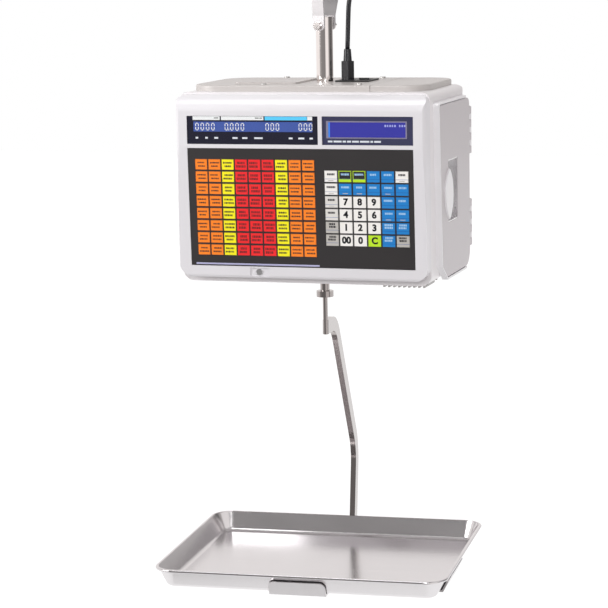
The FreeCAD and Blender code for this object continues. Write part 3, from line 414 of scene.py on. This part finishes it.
# The rest is in the yoke's own frame; YOKE_ROUTE and STEPS_INTO_PLUG are in millimetres.
YOKE_TURN = Matrix.Rotation(math.radians(73), 4, "Z")
YOKE_ROUTE = [(19.5, -43.5, -82), (17.2, -44.1, -62)]
COIL_CENTRE = Vector((-26.6, -37.1, -52)) * MM
COIL_RADIUS = 40 * MM
COIL_TURNS = 5.75
POINTS_PER_TURN = 16
# A lane is one turn's place in the coil: (outwards, aside), in lead diameters.
LANES = [(0.5, -1), (0.5, 0), (0.5, 1), (-0.5, 1), (-0.5, 0), (-0.5, -1)]
LANE_HOLD = 0.75              # the share of a turn before it eases over to the next lane
DRIFT_START = 5 + 150 / 360   # turns after which the lead drifts aside, to meet the mains plug
DRIFT = 15.5 * MM
STEPS_INTO_PLUG = (4, 7.6)


def lead_points():
    """Up out of the plug, round the coil in two layers of three, level into the mains plug."""
    points = [Vector(point) for point in LEAD_ROUTE]
    points += [YOKE_TURN @ (Vector(point) * MM) for point in YOKE_ROUTE]
    last_lane = len(LANES) - 1
    for n in range(int(COIL_TURNS * POINTS_PER_TURN) + 1):
        turn = n / POINTS_PER_TURN
        lane = min(int(turn), last_lane)
        ease = max(0.0, (turn - lane - LANE_HOLD) / (1 - LANE_HOLD))
        here = LANES[lane]
        there = LANES[min(lane + 1, last_lane)]
        radius = COIL_RADIUS + (here[0] + (there[0] - here[0]) * ease) * LEAD_DIAMETER
        aside = (here[1] + (there[1] - here[1]) * ease) * LEAD_DIAMETER
        if turn > DRIFT_START:
            share = (turn - DRIFT_START) / (COIL_TURNS - DRIFT_START)
            aside -= DRIFT * (1 - math.cos(math.pi * share)) / 2
        angle = turn * 2 * math.pi
        spot = Vector((radius * math.cos(angle), aside, radius * math.sin(angle)))
        points.append(YOKE_TURN @ (COIL_CENTRE + spot))
    last = YOKE_TURN.inverted() @ points[-1]
    points += [YOKE_TURN @ (last + Vector((step * MM, 0, 0))) for step in STEPS_INTO_PLUG]
    return points


def nurbs_line(points):
    """The smooth line of an open spline with these control points."""
    curve = bpy.data.curves.new("route", "CURVE")
    curve.dimensions = "3D"
    spline = curve.splines.new("NURBS")
    spline.points.add(len(points) - 1)
    for node, point in zip(spline.points, points):
        node.co = (*point, 1)
    spline.order_u = 3
    spline.use_endpoint_u = True
    spline.resolution_u = 6
    mesh = curve_mesh(curve)
    line = [vertex.co.copy() for vertex in mesh.vertices]
    bpy.data.meshes.remove(mesh)
    return line


def tube(name, line, radius, sides):
    """A tube of even thickness along a line, closed at both ends."""
    form = bmesh.new()
    rings = []
    side = (line[1] - line[0]).normalized().orthogonal().normalized()
    for n, point in enumerate(line):
        ahead = (line[min(n + 1, len(line) - 1)] - line[max(n - 1, 0)]).normalized()
        side = (side - ahead * side.dot(ahead)).normalized()
        other = ahead.cross(side)
        ring = []
        for k in range(sides):
            angle = 2 * math.pi * k / sides
            outwards = side * math.cos(angle) + other * math.sin(angle)
            ring.append(form.verts.new(point + outwards * radius))
        rings.append(ring)
    for first, second in zip(rings, rings[1:]):
        for k in range(sides):
            after = (k + 1) % sides
            form.faces.new((first[k], first[after], second[after], second[k]))
    form.faces.new(list(reversed(rings[0])))
    form.faces.new(rings[-1])
    mesh = bpy.data.meshes.new(name)
    form.to_mesh(mesh)
    form.free()
    for face in mesh.polygons:
        face.use_smooth = len(face.vertices) == 4
    return mesh


def make_lead():
    """The lead from the appliance plug to the mains plug, in place of its two CAD nodes."""
    line = nurbs_line(lead_points())
    mesh = tube("lead", line, LEAD_DIAMETER / 2, LEAD_SIDES)
    mesh.materials.append(LOOKS["rubber"])
    lead = bpy.data.objects.new("lead", mesh)
    bpy.context.scene.collection.objects.link(lead)
    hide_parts("mains_lead", "lead_coil")
    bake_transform(lead)


make_lead()


# ---- displays ---------------------------------------------------------------------------------
# The six lit segments of a zero: from (x, z) to (x, z), in digit widths and half heights.
ZERO_SEGMENTS = [(0, 2, 1, 2), (1, 1, 1, 2), (1, 0, 1, 1), (0, 0, 1, 0), (0, 0, 0, 1), (0, 1, 0, 2)]
SEGMENT_GAP = 0.6             # what a segment stops short by at each end, in strokes
DIGIT_FOOT = 26.4 * MM
DIGIT_WIDTH = 4.1 * MM
DIGIT_HEIGHT = 9.8 * MM
DIGIT_STROKE = 1.15 * MM

# Rows are (low, high) above the keypad's datum and spans are (left, right), all in millimetres.
LIT_ROW = (24, 38.6)
STRIP_ROW = (41.0, 46.5)
STRIP_MARK_ROW = (43.4, 44.6)
DECIMAL_POINT_ROW = (26, 27.2)
ANNUNCIATOR_ROW = (13.6, 16.2)
TEXT_ROW = (32.2, 35.2)
RATING_ROW = (9.6, 12.2)
WHITE_STRIPS = [(-162, -120), (-118, -53)]
CYAN_STRIPS = [(-51, 13)]
END_STRIPS = [(13.5, 21)]
STRIP_MARKS = [(-129, -122), (-66, -60), (-59, -55)]
DIGIT_GROUPS = [(-157.5, 4, 8.2), (-112, 4, 8.2), (-49.5, 3, 7.8), (0.8, 3, 7.8)]  # x, count, pitch
DECIMAL_POINTS = [(-106.9, -105.7)]
ANNUNCIATOR_MARKS = [(-156, 4), (-141, 4), (-126, 6), (-97, 8), (-82, 8), (-61, 13), (-12, 6), (4, 9),
             (19, 5)]         # middle, width
TEXT_START = 128.5
TEXT_PITCH = 3.6
TEXT_WIDTHS = (2.4, 1.95, 2.25, 1.95, 2.4, 0, 1.95, 2.25, 2.25)
RATING_START = 44.0
RATING_GAP = 1.6
RATING_WIDTHS = (7, 12, 5, 6, 10, 14, 4, 10)
# the width of the painted highlight along the right LCD's left edge
LCD_EDGE_HIGHLIGHT = 2.4 * MM
# Thicknesses, and how far a layer lies ahead of the LCD or, on the right mask, of the LCD's frame.
MASK = 0.12 * MM
STRIP = 0.1 * MM
PRINT = 0.05 * MM
ON_LCD = 0.02 * MM
ON_LEFT_MASK = 0.16 * MM
ON_STRIPS = 0.27 * MM
ON_RIGHT_MASK = 0.13 * MM


def on_row(spans, row):
    """Rectangles in metres from spans and a row."""
    low, high = row
    return [(a * MM, b * MM, DATUM.z + low * MM, DATUM.z + high * MM) for a, b in spans]


def face_of(node):
    """A node's left, right, low and high edge, and its front."""
    low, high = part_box(node)
    return (low[0], high[0], low[2], high[2]), low[1]


def ahead_of(front, lift=0.0):
    """The upright plane this far ahead of a front."""
    return Matrix.Translation((0, front - lift, 0))


def ring_plates(outer, inner):
    """Four plates around an opening."""
    left, right, low, high = outer
    a, b, c, d = inner
    return [(left, right, d, high), (left, right, low, c), (left, a, c, d), (b, right, c, d)]


def seven_segment_zero(x, z):
    """The lit segments of a zero as rectangles."""
    bars = []
    half = DIGIT_STROKE / 2
    gap = DIGIT_STROKE * SEGMENT_GAP
    for x0, z0, x1, z1 in ZERO_SEGMENTS:
        left = x + x0 * DIGIT_WIDTH
        right = x + x1 * DIGIT_WIDTH
        low = z + z0 * DIGIT_HEIGHT / 2
        high = z + z1 * DIGIT_HEIGHT / 2
        if x0 == x1:
            bars.append((left - half, left + half, low + gap, high - gap))
        else:
            bars.append((left + gap, right - gap, low - half, low + half))
    return bars


def make_left_display():
    """The mask round the lit row, its label strips, digits and annunciator marks; the strips and
    marks are print that also glows, painted light.
    """
    lcd, front = face_of("left_lcd")
    window, _ = face_of("left_window")
    on_mask = ahead_of(front, ON_LEFT_MASK)
    left, right, _, _ = lcd
    lit = on_row([(left / MM, right / MM)], LIT_ROW)[0]
    plates("left_mask", ring_plates(window, lit), "mask_left", MASK,
           ahead_of(front, ON_LCD))
    # the label strips are print that glows: painted light
    for name, spans, look, slot in (("left_label_strips", WHITE_STRIPS, "strip_white_painted_light", "key_white"),
                                    ("left_cyan_strip", CYAN_STRIPS, "cyan", "key_blue"),
                                    ("left_end_strip", END_STRIPS, "strip_white_painted_light", "key_white")):
        plates(name, on_row(spans, STRIP_ROW), look, STRIP, on_mask)
    plates("left_strip_marks", on_row(STRIP_MARKS, STRIP_MARK_ROW), "ink",
           PRINT, ahead_of(front, ON_STRIPS))
    digits = []
    for start, count, pitch in DIGIT_GROUPS:
        for n in range(count):
            digits += seven_segment_zero((start + n * pitch) * MM, DATUM.z + DIGIT_FOOT)
    digits += on_row(DECIMAL_POINTS, DECIMAL_POINT_ROW)
    plates("left_digits", digits, "digit_ink", PRINT, ahead_of(front, ON_LCD))
    # annunciator text in white print that glows: painted light
    lamps = [(middle - width / 2, middle + width / 2) for middle, width in ANNUNCIATOR_MARKS]
    plates("left_annunciator_marks", on_row(lamps, ANNUNCIATOR_ROW), "white_ink_painted_light", PRINT, on_mask)


def make_right_display():
    """The mask round the framed LCD, the LCD's text, a glowing painted highlight along the LCD's
    left edge, and the rating line, whose print also glows as painted light.
    """
    window, _ = face_of("right_window")
    surround, surround_front = face_of("right_lcd_frame")
    lcd, lcd_front = face_of("right_lcd")
    plates("right_mask", ring_plates(window, surround), "mask_right", MASK,
           ahead_of(surround_front))
    on_lcd = ahead_of(lcd_front, ON_LCD)
    starts = [TEXT_START + n * TEXT_PITCH for n in range(len(TEXT_WIDTHS))]
    text = [(start, start + width) for start, width in zip(starts, TEXT_WIDTHS) if width]
    plates("right_text_marks", on_row(text, TEXT_ROW), "blue_glow", PRINT, on_lcd)
    left, _, low, high = lcd
    # a glowing strip along the LCD's left edge: painted highlight
    plates("right_lcd_painted_highlight", [(left, left + LCD_EDGE_HIGHLIGHT, low, high)], "blue_painted_highlight",
           PRINT, on_lcd)
    ratings = []
    x = RATING_START
    for width in RATING_WIDTHS:
        ratings.append((x, x + width))
        x += width + RATING_GAP
    # the rating text is white print that glows: painted light
    plates("right_rating_marks", on_row(ratings, RATING_ROW), "white_ink_painted_light", PRINT,
           ahead_of(surround_front, ON_RIGHT_MASK))


make_left_display()
make_right_display()


# ---- key legends ------------------------------------------------------------------------------
# The look and the half height of a line of print, for each colour of preset key.
PRESET_PRINT = {"orange": ("ink", 1.05 * MM), "yellow": ("ink", 1.3 * MM),
                "red": ("red_ink", 1.7 * MM)}
LEGEND = 0.04 * MM
PRESET_REACH = (0.5, 0.82)    # how far a line of print reaches each way, in half widths
PRESET_ROW = 0.31             # a row's distance from the key's middle, in half heights
PRESET_WORD = (1.0, 2.6)      # the width of one bar, in millimetres
PRESET_SPACE = 0.6 * MM
PRESET_EDGES = (0.35 * MM, 0.6 * MM)  # what the overlay covers of a key, across and down
FUNCTION_REACH = (0.45, 0.68)
FUNCTION_WORD = (1.2, 2.4)
FUNCTION_SPACE = 0.5 * MM
FUNCTION_TALL = 1.45 * MM
FUNCTION_EDGES = (0.35 * MM, 0.35 * MM)
TOP_PRINT = 0.02 * MM
TOP_PRINT_HEIGHT = 0.13 * MM
GRID_STEP = 4                 # keys whose middles agree to this many millimetres share a line
TWO_LINE_ROW = 4              # from this row on, function keys carry two lines of print
PEARL_ROW = 2                 # and from this row on, the white ones are duller
TWO_LINES = (2.0 * MM, -2.0 * MM)
PRINT_PLACE = 0.35            # the print sits above a key's middle and a thin rule below it,
RULE_PLACE = 0.45             # both in half heights
RULE_TALL = 0.22 * MM
PANEL_OVER_RULE = 0.4 * MM    # a lime key's dark panel starts this far above its rule
SUB_MARK_CHANCE = 0.6
# Parts of a key, in shares of its half sizes: half width, low edge, high edge.
WITHIN_LIME = (0.86, -0.84, 0.84)
SUB_MARK = (0.4, -0.78, -0.66)
WHOLE_FACE = (0.98, -0.98, 0.98)
CARD_EDGE = (-163, 27, -172.6, -170.2)
CARD_THICKNESS = 0.5 * MM
NUMBERS = {(2, 1): "7", (2, 2): "8", (2, 3): "9", (3, 1): "4", (3, 2): "5", (3, 3): "6",
           (4, 1): "1", (4, 2): "2", (4, 3): "3", (5, 1): "00", (5, 2): "0", (5, 3): "C"}
NUMERAL_SIZE = 1.55           # in half heights of a key
NUMERAL_WEIGHT = 0.025        # a share of the size; more spoils the fill of the nine
NUMERAL_DEPTH = 0.05 * MM
NUMERAL_HEIGHT = 0.02 * MM
BOLD_STEPS = [(-0.28, -0.2), (0.56, 0.0), (0.0, 0.4), (-0.56, 0.0)]  # each from the last, in mm


def key_edges(faces, across, down):
    """The overlay's black print, running a little over the edges of each key."""
    bands = []
    for x, z, half_x, half_z in faces:
        for side in (-1, 1):
            left, right = sorted((x + side * half_x, x + side * (half_x - across)))
            bands.append((left, right, z - half_z, z + half_z))
            low, high = sorted((z + side * half_z, z + side * (half_z - down)))
            bands.append((x - half_x, x + half_x, low, high))
    return bands


def part_of_key(face, wide, low, high):
    """A rectangle within a key, in shares of its half sizes."""
    x, z, half_x, half_z = face
    return x - half_x * wide, x + half_x * wide, z + half_z * low, z + half_z * high


def word_bars(dice, x, half_x, middle, tall, reach, word, space):
    """One line of print as short bars of uneven width."""
    bars = []
    left = x - half_x * dice.uniform(*reach)
    right = x + half_x * dice.uniform(*reach)
    while left < right:
        width = dice.uniform(*word) * MM
        bars.append((left, min(left + width, right), middle - tall, middle + tall))
        left += width + space
    return bars


def make_preset_legends():
    """Two lines of bars stand for each preset key's printed name."""
    dice = random.Random(7)
    for name, (look, tall) in PRESET_PRINT.items():
        bars = []
        faces = key_faces(f"preset_keys_{name}")
        for x, z, half_x, half_z in faces:
            for row in (1, -1):
                bars += word_bars(dice, x, half_x, z + row * half_z * PRESET_ROW, tall,
                                  PRESET_REACH, PRESET_WORD, PRESET_SPACE)
        plates(f"preset_legends_{name}", bars, look, LEGEND, above_keys(0))
        plates(f"preset_edges_{name}", key_edges(faces, *PRESET_EDGES), "overlay",
               PRINT, above_keys(0))


def function_cells():
    """Every function key's colour and face, by row and column."""
    def grid(amount):
        return round(amount / MM / GRID_STEP)

    keys = []
    for name in ("white", "blue", "lime"):
        keys += [(name, face) for face in key_faces(f"function_keys_{name}")]
    columns = sorted({grid(face[0]) for _, face in keys})
    rows = sorted({grid(-face[1]) for _, face in keys})
    return {(rows.index(grid(-face[1])), columns.index(grid(face[0]))): (name, face)
            for name, face in keys}


def text_mesh(words, size):
    """Centred text, slightly thick, in its own XY plane."""
    curve = bpy.data.curves.new("legend", "FONT")
    curve.body = words
    curve.size = size
    curve.align_x = "CENTER"
    curve.align_y = "CENTER"
    curve.extrude = NUMERAL_DEPTH
    curve.offset = size * NUMERAL_WEIGHT
    return curve_mesh(curve)


def make_numerals(cells):
    """The number keys' digits, each four times a little apart so that they are bold."""
    numerals = bmesh.new()
    upright = Matrix.Rotation(math.pi / 2, 4, "X")
    for cell, words in NUMBERS.items():
        _, (x, z, _, half_z) = cells[cell]
        mesh = text_mesh(words, half_z * NUMERAL_SIZE)
        mesh.transform(above_keys(NUMERAL_HEIGHT) @ Matrix.Translation((x, 0, z)) @ upright)
        for across, up in BOLD_STEPS:
            mesh.transform(Matrix.Translation((across * MM, 0, up * MM)))
            numerals.from_mesh(mesh)
        bpy.data.meshes.remove(mesh)
    mesh = bpy.data.meshes.new("key_numerals")
    numerals.to_mesh(mesh)
    numerals.free()
    keep("key_numerals", mesh, "ink")


def make_function_legends():
    """Bars, rules and panels on the function keys that carry no number."""
    cells = function_cells()
    make_numerals(cells)
    faces = [face for _, face in cells.values()]
    plates("function_edges", key_edges(faces, *FUNCTION_EDGES), "overlay",
           TOP_PRINT, above_keys(TOP_PRINT_HEIGHT))
    dice = random.Random(11)
    dark, light, rules, lines, panels, pearl, pale = [], [], [], [], [], [], []
    for cell, (name, face) in sorted(cells.items()):
        if cell in NUMBERS:
            continue
        x, z, half_x, half_z = face
        rule = z - half_z * RULE_PLACE
        rules.append((x - half_x, x + half_x, rule - RULE_TALL, rule + RULE_TALL))
        if name == "lime":
            left, right, _, high = part_of_key(face, *WITHIN_LIME)
            panels.append((left, right, rule + PANEL_OVER_RULE, high))
        for row in ((0.0,) if cell[0] < TWO_LINE_ROW else TWO_LINES):
            bars = word_bars(dice, x, half_x, z + half_z * PRINT_PLACE + row, FUNCTION_TALL,
                             FUNCTION_REACH, FUNCTION_WORD, FUNCTION_SPACE)
            (dark if name == "white" else light).extend(bars)
        if name != "lime" and dice.random() < SUB_MARK_CHANCE:
            lines.append(part_of_key(face, *SUB_MARK))
        if name == "white" and cell[0] >= PEARL_ROW:
            (pearl if cell[0] < TWO_LINE_ROW else pale).append(part_of_key(face, *WHOLE_FACE))
    for title, bars, look, slot, thickness, height in (
            ("pale_faces", pale, "pale", "key_white", 0.03, 0),
            ("pearl_faces", pearl, "pearl", "key_white", 0.03, 0),
            ("lime_panels", panels, "ink", "keypad_black", 0.04, 0.04),
            ("legends_dark", dark, "ink", "keypad_black", 0.03, 0.09),
            ("legends_light", light, "sky_ink", "key_white", 0.03, 0.09),
            ("rules", rules, "blue_ink", "keypad_black", 0.03, 0.04),
            ("sub_marks", lines, "pale", "key_white", 0.03, 0.04)):
        plates(f"function_{title}", bars, look, thickness * MM, above_keys(height * MM))


def make_card_strip():
    """The lilac edge of the name card under the preset keys."""
    plates("preset_card_edge", [[edge * MM for edge in CARD_EDGE]], "lilac",
           CARD_THICKNESS, PANEL)


make_preset_legends()
make_function_legends()
make_card_strip()


# ---- studio -----------------------------------------------------------------------------------
# What the studio shows to the metal: places from left (0) to right (1), and tones.
FRONT_TONES = [(0.0, 0.95), (0.07, 0.95), (0.11, 0.42), (0.30, 0.26), (0.50, 0.25), (0.70, 0.24),
               (0.76, 0.95), (0.95, 0.95), (1.0, 0.15)]
BEHIND_TONES = [(0.0, 0.97), (0.55, 0.90), (0.74, 0.24), (1.0, 0.10)]
WARMTH = (1, 0.965, 0.955)
BEHIND_RANGE = (0.05, 0.55)   # where the front's tones give way to those behind, along y
# Name, place, size in metres and power in watts.
LAMPS = [("key", (-2.3, -1.9, 0.5), 1.5, 48.0), ("front", (1.0, -3.3, 0.9), 1.2, 36.0),
         ("top", (-0.5, -1.1, 2.2), 1.4, 17.0)]
LAMP_TARGET = Vector((0, 0, -0.45))
FLOOR_DROP = 0.45
FLOOR_SIDE = 9
FLOOR_NEAR = -0.42
FLOOR_FAR = 12
FLOOR_TONE = (0.10, 0.10, 0.10)
FLOOR_GLOW = 9.6
FLOOR_ROUGHNESS = 0.8


def ramp(tree, tones):
    """A near-grey colour ramp with the given places and tones."""
    node = tree.nodes.new("ShaderNodeValToRGB")
    for place, _ in tones[2:]:
        node.color_ramp.elements.new(place)
    for element, (place, tone) in zip(node.color_ramp.elements, tones):
        element.position = place
        element.color = (*(tone * share for share in WARMTH), 1)
    return node


def make_world():
    """White to the eye; what it lights has soft dark panels in front, for the metal to show."""
    world = bpy.data.worlds.new("studio")
    world.use_nodes = True
    tree = world.node_tree
    tree.nodes.clear()
    direction = add_node(tree, "ShaderNodeTexCoord")
    parts = add_node(tree, "ShaderNodeSeparateXYZ")
    tree.links.new(direction.outputs["Generated"], parts.inputs["Vector"])
    across = add_node(tree, "ShaderNodeMapRange", {"From Min": -1.0})
    tree.links.new(parts.outputs["X"], across.inputs["Value"])
    nearest, farthest = BEHIND_RANGE
    behind = add_node(tree, "ShaderNodeMapRange", {"From Min": nearest, "From Max": farthest})
    tree.links.new(parts.outputs["Y"], behind.inputs["Value"])
    whole = add_node(tree, "ShaderNodeMix")
    whole.data_type = "RGBA"
    tree.links.new(behind.outputs["Result"], whole.inputs["Factor"])
    for tones, socket in ((FRONT_TONES, "A"), (BEHIND_TONES, "B")):
        shades = ramp(tree, tones)
        tree.links.new(across.outputs["Result"], shades.inputs["Fac"])
        tree.links.new(shades.outputs["Color"], whole.inputs[socket])
    around = add_node(tree, "ShaderNodeBackground")
    tree.links.new(whole.outputs["Result"], around.inputs["Color"])
    seen = add_node(tree, "ShaderNodeBackground", {"Color": (1, 1, 1, 1)})
    rays = add_node(tree, "ShaderNodeLightPath")
    mixed = add_node(tree, "ShaderNodeMixShader")
    tree.links.new(rays.outputs["Is Camera Ray"], mixed.inputs[0])
    tree.links.new(around.outputs[0], mixed.inputs[1])
    tree.links.new(seen.outputs[0], mixed.inputs[2])
    output = add_node(tree, "ShaderNodeOutputWorld")
    tree.links.new(mixed.outputs[0], output.inputs["Surface"])
    bpy.context.scene.world = world


def make_floor():
    """A glowing floor well below the part, which it does not touch."""
    height = cad_box[0][2] - FLOOR_DROP
    corners = [(-FLOOR_SIDE, FLOOR_NEAR, height), (FLOOR_SIDE, FLOOR_NEAR, height),
               (FLOOR_SIDE, FLOOR_FAR, height), (-FLOOR_SIDE, FLOOR_FAR, height)]
    mesh = bpy.data.meshes.new("floor")
    mesh.from_pydata(corners, [], [(0, 1, 2, 3)])
    mesh.materials.append(glowing("floor_white", FLOOR_TONE, FLOOR_GLOW, FLOOR_ROUGHNESS))
    floor = bpy.data.objects.new("floor", mesh)
    bpy.context.scene.collection.objects.link(floor)


def make_lamps():
    """Three square lamps that face the part's middle."""
    for name, place, size, power in LAMPS:
        data = bpy.data.lights.new(name, "AREA")
        data.shape = "SQUARE"
        data.size = size
        data.energy = power
        lamp = bpy.data.objects.new(name, data)
        lamp.location = place
        facing = (LAMP_TARGET - Vector(place)).to_track_quat("-Z", "Y")
        lamp.rotation_euler = facing.to_euler()
        bpy.context.scene.collection.objects.link(lamp)


bpy.context.scene.view_settings.view_transform = "Standard"
make_world()
make_floor()
make_lamps()
